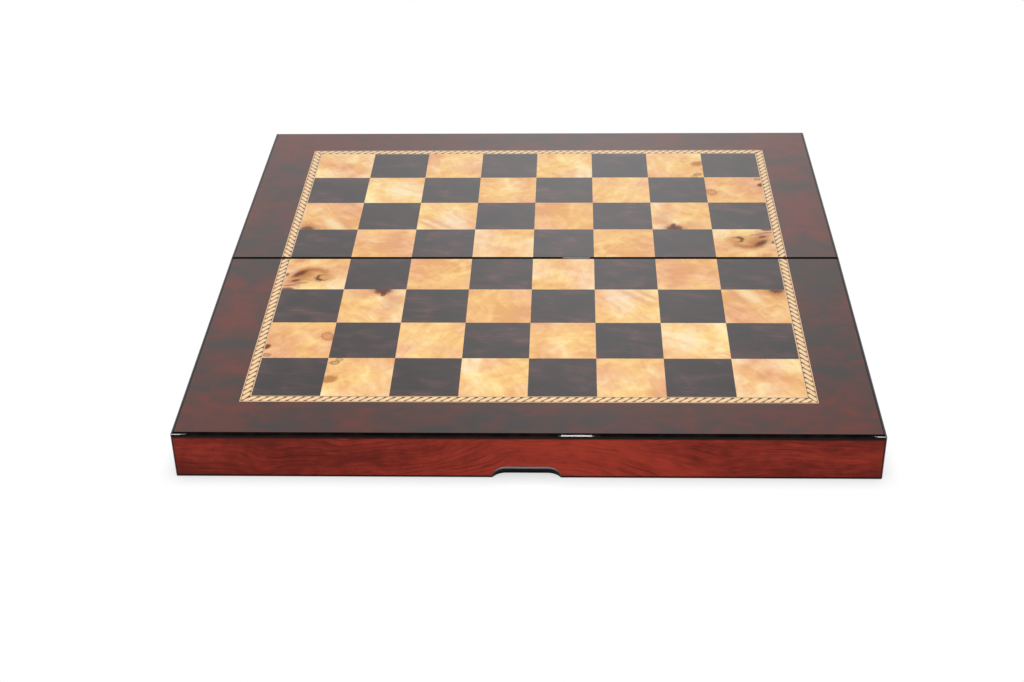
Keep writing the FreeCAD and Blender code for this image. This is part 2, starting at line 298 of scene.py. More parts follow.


# %% [markdown]
# ## Light squares of pale burl
#
# Burl is cut through a tangle of grain: soft clouds from straw to reddish peach, a fine mottle and
# curled streaks. All of that is noise at three scales. The knots are another matter, because the eye
# remembers where they are, so they are placed where the photographed veneer has them. Each is
# an ellipse with a brushed edge, filled or hollow; a hollow that sits off centre leaves a crescent.
# Both halves carry the same sheet, so the rear one shows its knots turned half way round.

# %% Knots
BARK = (0.115, 0.026, 0.003)
RUST = (0.40, 0.130, 0.030)
TAN = (0.63, 0.290, 0.090)
ROSE = (0.64, 0.300, 0.165)
PLUM = (0.105, 0.026, 0.022)
CREAM = (0.87, 0.680, 0.380)
CRISP = 0.30
BLURRED = 0.45
SOFT = 0.65
FRAYED = 1.3
SMOOTH = 0.45
KNOT_FIELDS = "x y length width turn depth stain soft hollow shift fray"
Knot = namedtuple("Knot", KNOT_FIELDS, defaults=(CRISP, 0.0, 0.0, FRAYED))
# Places and sizes are in millimetres in the flat frame of the front tray, turns in degrees.
KNOTS = [
    Knot(x=-143.0, y=-21.0, length=16.0, width=10.0, turn=12, depth=0.75, stain=TAN, soft=SOFT),
    Knot(x=-155.0, y=-33.0, length=8.0, width=6.0, turn=10, depth=0.75, stain=ROSE, soft=SOFT),
    Knot(x=-150.0, y=-19.5, length=8.0, width=4.2, turn=46, depth=0.70, stain=RUST, soft=SOFT),
    Knot(x=-146.0, y=-22.0, length=4.5, width=3.5, turn=30, depth=0.55, stain=RUST, soft=SOFT),
    Knot(
        x=-142.5, y=-20.5, length=7.5, width=9.5, turn=95, depth=0.90, stain=RUST,
        soft=0.4, hollow=1.0, shift=-0.30, fray=SMOOTH,
    ),
    Knot(x=-133.5, y=-24.5, length=6.0, width=4.4, turn=-20, depth=0.75, stain=TAN),
    Knot(x=-151.0, y=-20.2, length=5.6, width=2.2, turn=47, depth=0.88, stain=BARK, soft=BLURRED),
    Knot(
        x=-136.3, y=-25.6, length=4.2, width=4.0, turn=205, depth=0.95, stain=BARK,
        hollow=1.0, shift=-0.42,
    ),
    Knot(x=-159.2, y=-21.4, length=2.2, width=1.2, turn=80, depth=0.80, stain=BARK),
    Knot(x=-152.7, y=-29.0, length=5.0, width=2.6, turn=20, depth=0.55, stain=RUST, soft=SOFT),
    Knot(x=-152.7, y=-29.0, length=2.8, width=1.4, turn=20, depth=0.75, stain=BARK),
    Knot(x=-149.0, y=-32.0, length=4.5, width=0.7, turn=5, depth=0.60, stain=BARK),
    Knot(x=-155.5, y=-34.8, length=5.0, width=0.7, turn=8, depth=0.65, stain=BARK),
    Knot(x=-156.5, y=-39.5, length=4.0, width=1.8, turn=0, depth=0.80, stain=PLUM),
    Knot(x=-153.0, y=-3.0, length=5.0, width=2.5, turn=10, depth=0.40, stain=RUST, soft=SOFT),
    Knot(x=-87.0, y=-56.0, length=9.0, width=7.0, turn=70, depth=0.60, stain=ROSE, soft=SOFT),
    Knot(x=-108.0, y=-47.0, length=8.0, width=6.0, turn=0, depth=0.50, stain=ROSE, soft=SOFT),
    Knot(x=-94.8, y=-41.2, length=7.5, width=5.5, turn=0, depth=0.65, stain=RUST, soft=SOFT),
    Knot(x=-94.8, y=-41.2, length=5.4, width=4.4, turn=0, depth=0.90, stain=PLUM, soft=BLURRED),
    Knot(x=-94.2, y=-46.0, length=2.8, width=1.7, turn=80, depth=0.80, stain=PLUM),
    Knot(x=-123.5, y=-96.0, length=5.0, width=3.6, turn=-60, depth=0.90, stain=RUST, hollow=0.6),
    Knot(x=-159.3, y=-107.7, length=3.0, width=2.3, turn=60, depth=0.90, stain=BARK),
    Knot(x=-157.7, y=-116.8, length=2.4, width=2.0, turn=0, depth=0.80, stain=BARK, hollow=0.5),
    Knot(x=-115.6, y=-125.2, length=2.8, width=2.1, turn=15, depth=0.90, stain=BARK, hollow=0.6),
    Knot(x=-113.3, y=-121.6, length=2.2, width=1.8, turn=0, depth=0.80, stain=BARK, hollow=0.6),
    Knot(x=-116.8, y=-142.7, length=5.0, width=3.8, turn=20, depth=0.75, stain=RUST),
    Knot(x=137.0, y=-47.0, length=12.0, width=4.0, turn=-55, depth=0.80, stain=CREAM, soft=SOFT),
    Knot(x=129.0, y=-49.5, length=12.0, width=2.6, turn=-60, depth=0.60, stain=ROSE, soft=SOFT),
    Knot(x=128.0, y=-63.0, length=9.0, width=1.3, turn=-40, depth=0.60, stain=TAN, soft=SOFT),
    Knot(x=152.0, y=-43.0, length=9.0, width=5.0, turn=-35, depth=0.65, stain=RUST, soft=SOFT),
    Knot(x=155.0, y=-41.0, length=4.6, width=3.4, turn=0, depth=0.85, stain=PLUM, soft=BLURRED),
    Knot(x=66.0, y=-50.0, length=15.0, width=2.2, turn=-42, depth=0.55, stain=ROSE, soft=SOFT),
    Knot(x=73.0, y=-47.0, length=10.0, width=1.6, turn=-42, depth=0.55, stain=ROSE, soft=SOFT),
]
KNOT_BRUSH = (2.2, 5.5, 0.0)
KNOT_SPREAD = 5.0
HOLLOW_SHARE = 0.76


def knot_strength(tree, flat, number, knot):
    """How strongly one knot stains the veneer at a point, from 0 to 1."""
    inputs = {
        "Vector": flat,
        "Location": (knot.x * MM, knot.y * MM, 0.0),
        "Rotation": (0.0, 0.0, math.radians(knot.turn)),
        "Scale": (knot.length * MM, knot.width * MM, 1.0),
    }
    local = tree.add("Mapping", inputs, vector_type="TEXTURE").outputs["Vector"]
    local = tree.vector("MULTIPLY", local, (1.0, 1.0, 0.0))
    brushed = tree.vector("MULTIPLY_ADD", local, KNOT_BRUSH, (KNOT_SPREAD * number, 0.0, 0.0))
    brush = tree.noise(brushed, 1.0, detail=3.0)
    fray = tree.math("MULTIPLY_ADD", brush, knot.fray, -knot.fray / 2)
    strength = tree.rise(tree.math("ADD", tree.length(local), fray), 1 + knot.soft, 1 - knot.soft)
    if knot.hollow:
        inner = tree.length(tree.vector("SUBTRACT", local, (knot.shift, 0.0, 0.0)))
        inner = tree.math("MULTIPLY_ADD", inner, 1 / HOLLOW_SHARE, fray)
        kept = tree.rise(inner, 1 + knot.soft, 1 - knot.soft)
        kept = tree.math("MULTIPLY_ADD", kept, -knot.hollow, 1.0)
        strength = tree.math("MULTIPLY", strength, kept)
    return tree.math("MULTIPLY", strength, knot.depth)


# %% Light squares
LIGHT_STOPS = [
    (0.30, (0.715, 0.365, 0.150)),
    (0.43, (0.795, 0.460, 0.200)),
    (0.55, (0.845, 0.550, 0.250)),
    (0.67, (0.870, 0.665, 0.355)),
    (0.78, (0.885, 0.745, 0.465)),
]
LIGHT_CLOUD_LUMPS = 22.0
LIGHT_MOTTLE_LUMPS = 130.0
LIGHT_STREAK_LUMPS = (60.0, 420.0, 1.0)
LIGHT_SHARES = (0.95, 0.50, 0.22, 0.05)
LIGHT_CENTRE = -0.325
LIGHT_BLUSH_LUMPS = 34.0
LIGHT_BLUSH_RISE = (0.35, 0.65)
LIGHT_BLUSH = (0.97, 0.90, 1.05)
LIGHT_GOLD = (1.02, 1.03, 0.88)
LIGHT_MOST_TURN = math.radians(150)
LIGHT_SPECULAR = 0.12


def light_veneer(half):
    """Pale burl for the light squares of one tray."""
    material, tree = new_material(f"{half}_light_veneer")
    flat = tree.flat_point(half)
    figure, sheet = square_figure(tree, flat, LIGHT_MOST_TURN)
    cloud = tree.noise(figure, LIGHT_CLOUD_LUMPS, detail=2.0, distortion=1.2)
    mottle = tree.noise(figure, LIGHT_MOTTLE_LUMPS, detail=3.0, distortion=0.8)
    streak = tree.grain(figure, LIGHT_STREAK_LUMPS, detail=3.0, distortion=0.6)
    tone = tree.weigh(LIGHT_SHARES, (cloud, mottle, streak, sheet))
    colour = tree.ramp(tree.math("ADD", tone, LIGHT_CENTRE), LIGHT_STOPS)
    blush = tree.rise(tree.noise(figure, LIGHT_BLUSH_LUMPS), *LIGHT_BLUSH_RISE)
    colour = tree.blend(1.0, colour, tree.blend(blush, LIGHT_GOLD, LIGHT_BLUSH), "MULTIPLY")
    for number, knot in enumerate(KNOTS):
        colour = tree.blend(knot_strength(tree, flat, number, knot), colour, knot.stain)
    lacquer(tree, colour, LIGHT_SPECULAR)
    return material


for half in HALVES:
    cover(f"{half}_light_squares", light_veneer(half))
print(f"light squares: {len(KNOTS)} knots on each half")

# %% [markdown]
# ## Dark squares
#
# The dark squares are a black-brown veneer with a faint red-brown streak. Most of what one sees on
# them is the lacquer's reflection, which lifts them to slate grey, so the wood itself stays near black.

# %% Dark squares
DARK_STOPS = [
    (0.36, (0.016, 0.010, 0.011)),
    (0.50, (0.026, 0.015, 0.016)),
    (0.60, (0.054, 0.023, 0.023)),
    (0.70, (0.100, 0.036, 0.034)),
]
DARK_SPOT_LUMPS = (55.0, 80.0, 1.0)
DARK_STREAK_LUMPS = (45.0, 520.0, 1.0)
DARK_SHARES = (0.7, 0.3)
DARK_MOST_TURN = math.radians(20)


def dark_veneer(half):
    """Black-brown veneer for the dark squares of one tray."""
    material, tree = new_material(f"{half}_dark_veneer")
    figure, _ = square_figure(tree, tree.flat_point(half), DARK_MOST_TURN)
    spot = tree.grain(figure, DARK_SPOT_LUMPS, detail=3.0, distortion=0.5)
    streak = tree.grain(figure, DARK_STREAK_LUMPS, detail=3.0)
    lacquer(tree, tree.ramp(tree.weigh(DARK_SHARES, (spot, streak)), DARK_STOPS))
    return material


for half in HALVES:
    cover(f"{half}_dark_squares", dark_veneer(half))

# %% [markdown]
# ## Strips round the field
#
# The inlay is a stick of banding that is mitred at the corners, so its figure turns the corner with
# it. A pattern for such a strip needs two numbers, the way along it and the way out from the field. On
# the outer strip these are X and Y, on the side strips Y and X, and the strips meet on the mitre, where
# both ways out are the same.


# %% Place on a strip
def strip_place(tree, half):
    """The way along a mitred strip, and the way out from the field."""
    x, y, _ = tree.split(tree.flat_point(half))
    from_side = tree.math("SUBTRACT", tree.math("ABSOLUTE", x), FIELD_X)
    from_front = tree.math("SUBTRACT", FIELD_Y, y)
    is_side = tree.math("GREATER_THAN", from_side, from_front)
    along_side = tree.math("MULTIPLY", y, is_side)
    along_front = tree.math("MULTIPLY", x, tree.math("SUBTRACT", 1.0, is_side))
    along = tree.math("ADD", along_side, along_front)
    return along, tree.math("MAXIMUM", from_side, from_front)


# %% [markdown]
# ## The dark burl border
#
# The wide border has cloudy blotches, one to two centimetres across, that run from slate to a dull
# red-brown of the same brightness. The blotches pass over the mitres, so one noise over the whole tray
# makes them, and a finer one the fibres, which run along X. Some broad patches are redder or greyer:
# they are made like the knots, but shift the tone in place of staining it. Both halves carry the same
# sheet here too.

# %% Border
BORDER_STOPS = [
    (0.34, (0.034, 0.026, 0.024)),
    (0.50, (0.068, 0.023, 0.018)),
    (0.66, (0.116, 0.020, 0.012)),
]
BORDER_BLOTCH_LUMPS = (58.0, 78.0, 1.0)
BORDER_FIBRE_LUMPS = (70.0, 900.0, 1.0)
BORDER_SHARES = (0.62, 0.16)
BORDER_CENTRES = {"front": 0.105, "rear": 0.155}
BORDER_SPECULAR = 0.38


def border_patch(x, y, length, width, shift):
    """A broad soft patch of the border: greyer with a shift below zero, redder above."""
    return Knot(x, y, length, width, turn=0, depth=shift, stain=None, soft=SOFT)


BORDER_PATCHES = [
    border_patch(x=-182.0, y=-8.0, length=24.0, width=16.0, shift=-0.13),
    border_patch(x=-184.0, y=-62.0, length=16.0, width=34.0, shift=0.09),
    border_patch(x=-182.0, y=-106.0, length=20.0, width=7.0, shift=-0.11),
    border_patch(x=-175.0, y=-133.0, length=11.0, width=8.0, shift=0.12),
    border_patch(x=-184.0, y=-148.0, length=18.0, width=7.0, shift=-0.06),
    border_patch(x=-182.0, y=-182.0, length=26.0, width=16.0, shift=0.09),
    border_patch(x=-132.0, y=-189.0, length=18.0, width=9.0, shift=-0.08),
    border_patch(x=-12.0, y=-186.0, length=46.0, width=13.0, shift=-0.12),
    border_patch(x=132.0, y=-176.0, length=16.0, width=8.0, shift=0.09),
    border_patch(x=180.0, y=-182.0, length=30.0, width=16.0, shift=0.08),
    border_patch(x=182.0, y=-133.0, length=20.0, width=6.0, shift=-0.12),
    border_patch(x=183.0, y=-98.0, length=20.0, width=13.0, shift=-0.11),
    border_patch(x=182.0, y=-18.0, length=24.0, width=24.0, shift=-0.14),
]


def border_veneer(half):
    """Dark burl for the border of one tray."""
    material, tree = new_material(f"{half}_border_veneer")
    flat = tree.flat_point(half)
    blotch = tree.grain(flat, BORDER_BLOTCH_LUMPS, detail=5.0, distortion=0.7)
    fibre = tree.grain(flat, BORDER_FIBRE_LUMPS, detail=3.0)
    tone = tree.math("ADD", tree.weigh(BORDER_SHARES, (blotch, fibre)), BORDER_CENTRES[half])
    for number, patch in enumerate(BORDER_PATCHES):
        tone = tree.math("ADD", tone, knot_strength(tree, flat, number, patch))
    lacquer(tree, tree.ramp(tone, BORDER_STOPS), BORDER_SPECULAR)
    return material


for half in HALVES:
    cover(f"{half}_border_veneer", border_veneer(half))

# %% [markdown]
# ## The rope inlay
#
# Rope banding is sold in sticks: fat slanted pale strands with dark notches between them, and a thin
# brown and a thin pale line along each edge. A strand moves on by one pitch while it crosses the
# band, curls like an S and gets thinner towards both edges, which opens the notches. The notches on
# the side of the field are the darker ones.

# %% Rope inlay
ROPE_PITCH = 5.25 * MM
ROPE_LEAN = 0.50
ROPE_CURL = 0.10
ROPE_GAP_WIDTH = 0.22
ROPE_NOTCH_WIDTH = 0.40
ROPE_SOFTNESS = 0.24
ROPE_FIBRE_STRETCH = 3.0
ROPE_FIBRE_LUMPS = 2.0
ROPE_FIBRE_RISE = (0.35, 0.75)
ROPE_GAP_RISE = (-0.4, 0.7)
ROPE_SEAM_LINE = (0.70, 0.76)
ROPE_EDGE_LINE = (0.80, 0.86)
ROPE_PALE = (0.88, 0.65, 0.39)
ROPE_WARM = (0.72, 0.43, 0.20)
ROPE_INNER_GAP = (0.045, 0.016, 0.004)
ROPE_OUTER_GAP = (0.20, 0.080, 0.022)
ROPE_SEAM = (0.20, 0.085, 0.035)
ROPE_EDGE = (0.72, 0.48, 0.27)
ROPE_SPECULAR = 0.25


def rope_inlay(half):
    """Rope banding round the field of one tray."""
    material, tree = new_material(f"{half}_rope_inlay")
    along, outwards = strip_place(tree, half)
    inwards = tree.math("MULTIPLY_ADD", outwards, -2 / INLAY_WIDTH, 1.0)
    across = tree.math("ABSOLUTE", inwards)
    curl = tree.math("MULTIPLY", tree.math("SINE", tree.math("MULTIPLY", inwards, math.pi)), ROPE_CURL)
    lean = tree.math("MULTIPLY_ADD", inwards, ROPE_LEAN, curl)
    turns = tree.math("SUBTRACT", tree.math("DIVIDE", along, ROPE_PITCH), lean)
    aside = tree.math("ABSOLUTE", tree.math("SUBTRACT", tree.math("FRACT", turns), 0.5))
    from_gap = tree.math("MULTIPLY_ADD", aside, -2.0, 1.0)
    notch = tree.math("MULTIPLY_ADD", tree.math("POWER", across, 2.0), ROPE_NOTCH_WIDTH, ROPE_GAP_WIDTH)
    strand = tree.rise(tree.math("SUBTRACT", from_gap, notch), -ROPE_SOFTNESS, ROPE_SOFTNESS)
    fibre_place = tree.join(tree.math("MULTIPLY", turns, ROPE_FIBRE_STRETCH), inwards)
    fibre = tree.rise(tree.noise(fibre_place, ROPE_FIBRE_LUMPS), *ROPE_FIBRE_RISE)
    pale = tree.blend(fibre, ROPE_PALE, ROPE_WARM)
    gap = tree.blend(tree.rise(inwards, *ROPE_GAP_RISE), ROPE_OUTER_GAP, ROPE_INNER_GAP)
    colour = tree.blend(strand, gap, pale)
    colour = tree.blend(tree.rise(across, *ROPE_SEAM_LINE), colour, ROPE_SEAM)
    lacquer(tree, tree.blend(tree.rise(across, *ROPE_EDGE_LINE), colour, ROPE_EDGE), ROPE_SPECULAR)
    return material


for half in HALVES:
    cover(f"{half}_rope_inlay", rope_inlay(half))
print(f"rope inlay: {2 * FIELD_X / ROPE_PITCH:.0f} strands along the outer strip")

# %% [markdown]
# ## Red walls and black edges
#
# The rails show three finishes: red figured veneer on the flat outer walls, gloss black on every
# rounded edge and in the finger scoop, and plain black paint inside the tray. The CAD rail is one
# mesh, so its faces are sorted into three material slots by where they are and how they face in the
# flat frame. The walls' figure is laid along one number, X plus Y, which runs round the corner from
# wall to wall. Its grain follows a level that is the height, less an arch over the middle of the front
# wall, plus some noise: streaks that are long in the one number and thin in the level flow along such
# curves. Dark growth rings, a few millimetres of level apart, flow with them and show in patches, and
# the red glows a little near the arch. Thin black lines end the veneer at the upright corners and at
# the shoulder under the rounded edge. The black line at the foot is the black rim edge and painted
# contact shadow in one. A painted grey highlight lies along the lip of the scoop.

# %% Wall veneer
EDGE_BLACK = (0.003, 0.002, 0.002)
WALL_STOPS = [
    (0.30, (0.062, 0.0078, 0.0062)),
    (0.50, (0.126, 0.0125, 0.0070)),
    (0.72, (0.285, 0.0300, 0.0160)),
]
WALL_ARCH_PLACE = 12 * MM
WALL_ARCH_WIDTH = 70 * MM
WALL_ARCH_HEIGHT = 20 * MM
WALL_GLOW_PLACE = 30 * MM
WALL_GLOW_WIDTH = 100 * MM
WALL_SWEEP_LUMPS = (16.0, 30.0, 1.0)
WALL_SWEEP = 24 * MM
WALL_TONE_LUMPS = (12.0, 60.0, 1.0)
WALL_MOTTLE_LUMPS = (110.0, 190.0, 1.0)
WALL_STREAK_LUMPS = (70.0, 900.0, 1.0)
WALL_SHARES = (0.45, 0.30, 0.27, 0.19)
WALL_RING = 3.4 * MM
WALL_RING_WOBBLE = 0.9
WALL_RING_WIDTH = 0.5
WALL_RING_PATCH_LUMPS = (24.0, 50.0, 1.0)
WALL_RING_PATCH = (0.42, 0.62)
WALL_RING_DEPTH = 0.55
WALL_RING_COLOUR = (0.042, 0.0060, 0.0055)
WALL_CORNER_LINE = (1.2 * MM, 0.3 * MM)
# The black line at the foot is partly painted contact shadow.
WALL_FOOT_LINE_AND_SHADOW = (2.2 * MM, 1.5 * MM)
WALL_SHOULDER_LINE = (26.3 * MM, 28.0 * MM)
WALL_SPECULAR = 0.08


def hump(tree, along, place, width):
    """1 at a place along the wall, and less and less to both sides of it."""
    away = tree.math("DIVIDE", tree.math("SUBTRACT", along, place), width)
    return tree.math("EXPONENT", tree.math("MULTIPLY", tree.math("MULTIPLY", away, away), -1.0))


def wall_figure(tree, x, y, z):
    """The red of the walls, with streaks and dark growth rings that flow over the arch."""
    along = tree.math("ADD", x, tree.math("SUBTRACT", y, OUTER_Y))
    arch = hump(tree, along, WALL_ARCH_PLACE, WALL_ARCH_WIDTH)
    glow = hump(tree, along, WALL_GLOW_PLACE, WALL_GLOW_WIDTH)
    sweep = tree.grain(tree.join(along, z), WALL_SWEEP_LUMPS, detail=1.0)
    level = tree.math("MULTIPLY_ADD", arch, -WALL_ARCH_HEIGHT, z)
    level = tree.math("MULTIPLY_ADD", sweep, WALL_SWEEP, level)
    flow = tree.join(along, level)
    tone = tree.grain(flow, WALL_TONE_LUMPS, detail=3.0)
    mottle = tree.grain(flow, WALL_MOTTLE_LUMPS, detail=4.0, roughness=0.6)
    streak = tree.grain(flow, WALL_STREAK_LUMPS, detail=3.0)
    colour = tree.ramp(tree.weigh(WALL_SHARES, (tone, mottle, streak, glow)), WALL_STOPS)
    wobble = tree.math("MULTIPLY", mottle, WALL_RING_WOBBLE)
    turns = tree.math("MULTIPLY_ADD", level, 1 / WALL_RING, wobble)
    from_ring = tree.math("ABSOLUTE", tree.math("SINE", tree.math("MULTIPLY", turns, math.pi)))
    patch = tree.grain(flow, WALL_RING_PATCH_LUMPS)
    depth = tree.math("MULTIPLY", tree.rise(patch, *WALL_RING_PATCH), WALL_RING_DEPTH)
    ring = tree.math("MULTIPLY", tree.rise(from_ring, WALL_RING_WIDTH, 0.0), depth)
    return tree.blend(ring, colour, WALL_RING_COLOUR)


def wall_lines(tree, x, y, z):
    """How black a wall is from its lines at corners, shoulder and foot, the last partly painted shadow.
    """
    from_side = tree.math("SUBTRACT", HALF_WIDTH, tree.math("ABSOLUTE", x))
    reach = tree.math("ABSOLUTE", y)
    from_front = tree.math("SUBTRACT", tree.math("MULTIPLY_ADD", z, math.sin(LEAN), -OUTER_Y), reach)
    from_corner = tree.math("ABSOLUTE", tree.math("SUBTRACT", from_side, from_front))
    above_rim = tree.math("ADD", tree.math("MULTIPLY_ADD", reach, math.sin(LEAN), -HINGE_HEIGHT), z)
    corner_line = tree.rise(from_corner, *WALL_CORNER_LINE)
    # The foot line is the black rim edge and painted contact shadow in one.
    foot_line_and_shadow = tree.rise(above_rim, *WALL_FOOT_LINE_AND_SHADOW)
    shoulder_line = tree.rise(above_rim, *WALL_SHOULDER_LINE)
    return tree.math("MAXIMUM", corner_line, tree.math("MAXIMUM", foot_line_and_shadow, shoulder_line))


def wall_veneer():
    """Red figured veneer between black lines."""
    material, tree = new_material("wall_veneer")
    x, y, z = tree.split(tree.place())
    colour = tree.blend(wall_lines(tree, x, y, z), wall_figure(tree, x, y, z), EDGE_BLACK)
    lacquer(tree, colour, WALL_SPECULAR)
    return material


# %% Black edges and paint
EDGE_BROWN = (0.008, 0.005, 0.004)
EDGE_STOPS = [(0.4, EDGE_BLACK), (0.7, EDGE_BROWN)]
EDGE_LUMPS = 130.0
EDGE_SPECULAR = 0.13
# Painted highlight: the grey colour and the place of a line along the lip of the scoop.
LIP_HIGHLIGHT_GREY = (0.235, 0.242, 0.265)
LIP_HIGHLIGHT_WIDTH = (48 * MM, 36 * MM)
LIP_HIGHLIGHT_REACH = (170 * MM, 180 * MM)
LIP_HIGHLIGHT_TOP = (11 * MM, 9 * MM)
LIP_HIGHLIGHT_BOTTOM = (3.0 * MM, 4.6 * MM)
PAINT_STOPS = [(0.35, (0.010, 0.009, 0.009)), (0.7, (0.020, 0.018, 0.017))]
PAINT_PATCH_LUMPS = 60.0
PAINT_GRAIN_LUMPS = 1500.0
PAINT_GRAIN_DEPTH = 0.03 * MM
PAINT_ROUGHNESS = (0.3, 0.35)


def black_lacquer():
    """Black lacquer, faintly brown where it is thin, with a painted grey highlight on the scoop's lip.
    """
    material, tree = new_material("black_lacquer")
    place = tree.place()
    thin = tree.ramp(tree.noise(place, EDGE_LUMPS, detail=3.0), EDGE_STOPS)
    x, y, z = tree.split(place)
    # Painted highlight: the lip of the scoop is lightened to grey.
    beside = tree.rise(tree.math("ABSOLUTE", x), *LIP_HIGHLIGHT_WIDTH)
    outside = tree.rise(tree.math("ABSOLUTE", y), *LIP_HIGHLIGHT_REACH)
    lip = tree.math("MULTIPLY", tree.rise(z, *LIP_HIGHLIGHT_TOP), tree.rise(z, *LIP_HIGHLIGHT_BOTTOM))
    lip_highlight = tree.math("MULTIPLY", tree.math("MULTIPLY", beside, outside), lip)
    lacquer(tree, tree.blend(lip_highlight, thin, LIP_HIGHLIGHT_GREY), EDGE_SPECULAR)
    return material


def black_paint():
    """Rolled black paint inside the trays."""
    material, tree = new_material("black_paint")
    place = tree.place()
    grain = tree.noise(place, PAINT_GRAIN_LUMPS, detail=2.0)
    patch = tree.noise(place, PAINT_PATCH_LUMPS, detail=3.0)
    inputs = {
        "Base Color": tree.ramp(patch, PAINT_STOPS),
        "Roughness": tree.math("MULTIPLY_ADD", patch, *PAINT_ROUGHNESS),
        "Normal": tree.bump(grain, PAINT_GRAIN_DEPTH),
    }
    tree.surface(tree.add("BsdfPrincipled", inputs))
    return material


# %% Rails
RAIL_FINISHES = (wall_veneer(), black_lacquer(), black_paint())
WALL, EDGE, INSIDE = range(3)
RAILS = ("outer_rail", "hinge_rail", "left_rail", "right_rail")
FACING = 0.9999
TOUCHING = 0.01 * MM
UPRIGHT = 0.01
CORNER_REACH = 2.1 * MM
LINING_MARGIN = 1.0 * MM


def rail_finish(normal, centre):
    """Which finish a face of a rail has, from its normal and centre in the flat frame."""
    on_side = abs(centre.x) > HALF_WIDTH - TOUCHING and abs(normal.x) > FACING
    on_front = centre.y < OUTER_Y + TOUCHING and normal.y < -FACING
    by_corner = abs(centre.x) > HALF_WIDTH - CORNER_REACH and centre.y < OUTER_Y + CORNER_REACH
    if on_side or on_front or (by_corner and abs(normal.z) < UPRIGHT):
        return WALL
    from_the_side = normal.x * centre.x < 0 and abs(normal.x) > FACING
    over_lining = felt_low.y - LINING_MARGIN < centre.y < felt_high.y + LINING_MARGIN
    into_tray = from_the_side or (over_lining and abs(normal.y) > FACING)
    return INSIDE if into_tray else EDGE


wall_faces = 0
for half in HALVES:
    to_flat = placement(half).inverted()
    for name in RAILS:
        cover(f"{half}_{name}", *RAIL_FINISHES)
        for face in cad_nodes[f"{half}_{name}"].data.polygons:
            face.material_index = rail_finish(to_flat.to_3x3() @ face.normal, to_flat @ face.center)
            wall_faces += face.material_index == WALL
print(f"rails: {wall_faces} faces of red wall")

# %% [markdown]
# ## Metal and raw board
#
# Brass, steel and nickel are one recipe with three colours: a metallic Principled shader whose
# roughness is streaked along the hinge, as rolled sheet and drawn wire are. The deck panels are bare
# fibreboard, seen only in the narrow gap round the felt.

# %% Hardware
METAL_STREAK_LUMPS = (90.0, 4000.0, 4000.0)
METAL_STREAK_DEPTH = 0.01 * MM
METAL_STREAK_ROUGHNESS = 0.25
METAL_PATCH_LUMPS = 240.0
METAL_DULL_STOP = 0.35
METAL_BRIGHT_STOP = 0.65
BOARD_STOPS = [(0.35, (0.20, 0.115, 0.055)), (0.65, (0.36, 0.23, 0.125))]
BOARD_FIBRE_LUMPS = 900.0
BOARD_FIBRE_DEPTH = 0.05 * MM


def metal(name, bright, dull, rough):
    """Metal that is streaked along X and a little duller in patches."""
    material, tree = new_material(name)
    place = tree.place()
    streak = tree.grain(place, METAL_STREAK_LUMPS, detail=2.0)
    patch = tree.noise(place, METAL_PATCH_LUMPS, detail=3.0)
    inputs = {
        "Base Color": tree.ramp(patch, [(METAL_DULL_STOP, dull), (METAL_BRIGHT_STOP, bright)]),
        "Metallic": 1.0,
        "Roughness": tree.math("MULTIPLY_ADD", streak, METAL_STREAK_ROUGHNESS, rough),
        "Normal": tree.bump(streak, METAL_STREAK_DEPTH),
    }
    tree.surface(tree.add("BsdfPrincipled", inputs))
    return material


def fibreboard():
    """Bare fibreboard: felted short fibres in two browns."""
    material, tree = new_material("fibreboard")
    fibres = tree.noise(tree.place(), BOARD_FIBRE_LUMPS, detail=4.0, roughness=0.7, distortion=1.5)
    inputs = {
        "Base Color": tree.ramp(fibres, BOARD_STOPS),
        "Roughness": 0.9,
        "Normal": tree.bump(fibres, BOARD_FIBRE_DEPTH),
    }
    tree.surface(tree.add("BsdfPrincipled", inputs))
    return material


brass = metal("brass", bright=(0.83, 0.60, 0.25), dull=(0.62, 0.40, 0.15), rough=0.16)
steel = metal("pin_steel", bright=(0.62, 0.61, 0.60), dull=(0.45, 0.44, 0.43), rough=0.20)
nickel = metal("magnet_nickel", bright=(0.72, 0.70, 0.66), dull=(0.58, 0.56, 0.53), rough=0.12)
board = fibreboard()
for half in HALVES:
    cover(f"{half}_deck_panel", board)
    cover(f"{half}_magnets", nickel)
    cover(f"{half}_hinge_screws", brass)
for side in ("left", "right"):
    cover(f"{side}_hinge_pin", steel)
    for half in HALVES:
        cover(f"{side}_hinge_{half}_leaf", brass)

# %% [markdown]
# ## Felt linings
#
# Felt is a mat of fibres: its face rolls by a tenth of a millimetre, its cut edge is soft and never
# quite straight. A grid with some thickness, moved by smooth noise, has all of that. The glued side
# stays flat on the deck panel.

# %% Felt
FELT_STEP = 3 * MM
FELT_ROLL = 0.25 * MM
FELT_ROLL_LUMPS = 70.0
FELT_CUT = 0.3 * MM
FELT_CUT_LUMPS = 45.0
FELT_CUT_SHIFT = Vector((7.0, 3.0, 1.0))
FELT_EDGE_DROP = 0.45 * MM
FELT_EDGE_REACH = 1.5 * MM
FELT_STOPS = [
    (0.38, (0.006, 0.026, 0.012)),
    (0.52, (0.015, 0.055, 0.027)),
    (0.66, (0.035, 0.095, 0.050)),
]
FELT_FIBRE_LUMPS = 1600.0
FELT_FIBRE_DEPTH = 0.15 * MM
FELT_PATCH_LUMPS = 30.0
FELT_SHARES = (0.6, 0.4)


